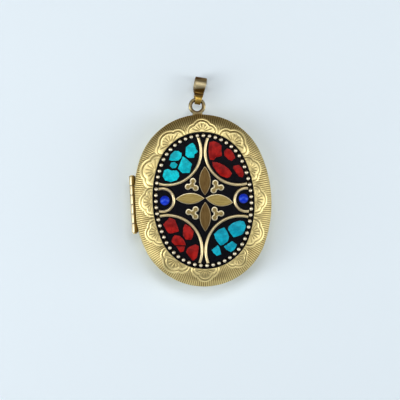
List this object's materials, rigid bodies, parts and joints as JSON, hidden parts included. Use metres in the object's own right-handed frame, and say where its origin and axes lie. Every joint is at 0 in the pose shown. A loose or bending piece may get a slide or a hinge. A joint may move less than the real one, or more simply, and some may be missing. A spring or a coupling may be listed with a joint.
{
  "type": "ghau amulet box",
  "caption": "Oval brass locket that opens on a side hinge, its lid inlaid with stone chips in resin, with a soldered eye and a swinging folded bail for a cord.",
  "frame": {"origin": "centre of the flat oval on the back that the closed locket lies on", "axes": "+Z out of the inlaid front, +Y towards the eye and bail, hinge on the -X side"},
  "size_m": [0.0361, 0.0539, 0.0085],
  "materials": {
    "aged_brass": "stamped sheet, worn bright on the raised lines and dark in the recesses",
    "brass_pin": "drawn wire, dull",
    "bright_brass": "polished wire, pale gold",
    "brushed_brass": "flat cut sheet, brushed along its length",
    "black_resin": "cast black resin, ground flat and polished",
    "bright_turquoise": "polished chip with faint dark veins",
    "deep_turquoise": "polished chip with faint dark veins",
    "red_coral": "polished deep red chip",
    "lapis": "polished cabochon"
  },
  "bodies": {
    "case": {"back_shell": "aged_brass", "snap_band": "aged_brass", "case_knuckles": "aged_brass", "hinge_pin": "brass_pin", "eye": "aged_brass"},
    "bail": {"bail": "aged_brass"},
    "lid": {"front_shell": "aged_brass", "inlay_plate": "aged_brass", "lid_knuckles": "aged_brass", "resin_bed": "black_resin", "beaded_wire": "bright_brass", "corner_wire_upper_left": "bright_brass", "corner_wire_upper_right": "bright_brass", "corner_wire_lower_left": "bright_brass", "corner_wire_lower_right": "bright_brass", "side_wire_left": "bright_brass", "side_wire_right": "bright_brass", "lapis_left": "lapis", "lapis_right": "lapis", "petal_top": "brushed_brass", "petal_bottom": "brushed_brass", "petal_left": "brushed_brass", "petal_right": "brushed_brass", "trefoil_upper_left": "bright_brass", "trefoil_upper_right": "bright_brass", "trefoil_lower_left": "bright_brass", "trefoil_lower_right": "bright_brass", "turquoise_upper_1": "bright_turquoise", "turquoise_upper_2": "bright_turquoise", "turquoise_upper_3": "bright_turquoise", "turquoise_upper_4": "bright_turquoise", "turquoise_upper_5": "bright_turquoise", "coral_upper_1": "red_coral", "coral_upper_2": "red_coral", "coral_upper_3": "red_coral", "coral_upper_4": "red_coral", "coral_lower_1": "red_coral", "coral_lower_2": "red_coral", "coral_lower_3": "red_coral", "coral_lower_4": "red_coral", "coral_lower_5": "red_coral", "turquoise_lower_1": "deep_turquoise", "turquoise_lower_2": "deep_turquoise", "turquoise_lower_3": "deep_turquoise", "turquoise_lower_4": "deep_turquoise"}
  },
  "joints": [
    {"name": "lid_hinge", "type": "hinge", "parent": "case", "child": "lid", "pos_m": [-0.0177, 0, 0.00443], "axis": [0, -1, 0], "range_deg": [0, 180]},
    {"name": "bail_swing", "type": "hinge", "parent": "case", "child": "bail", "pos_m": [0.00037, 0.02588, 0.00365], "axis": [0.9763, -0.2164, 0], "range_deg": [-87.5, 132.5]}
  ]
}
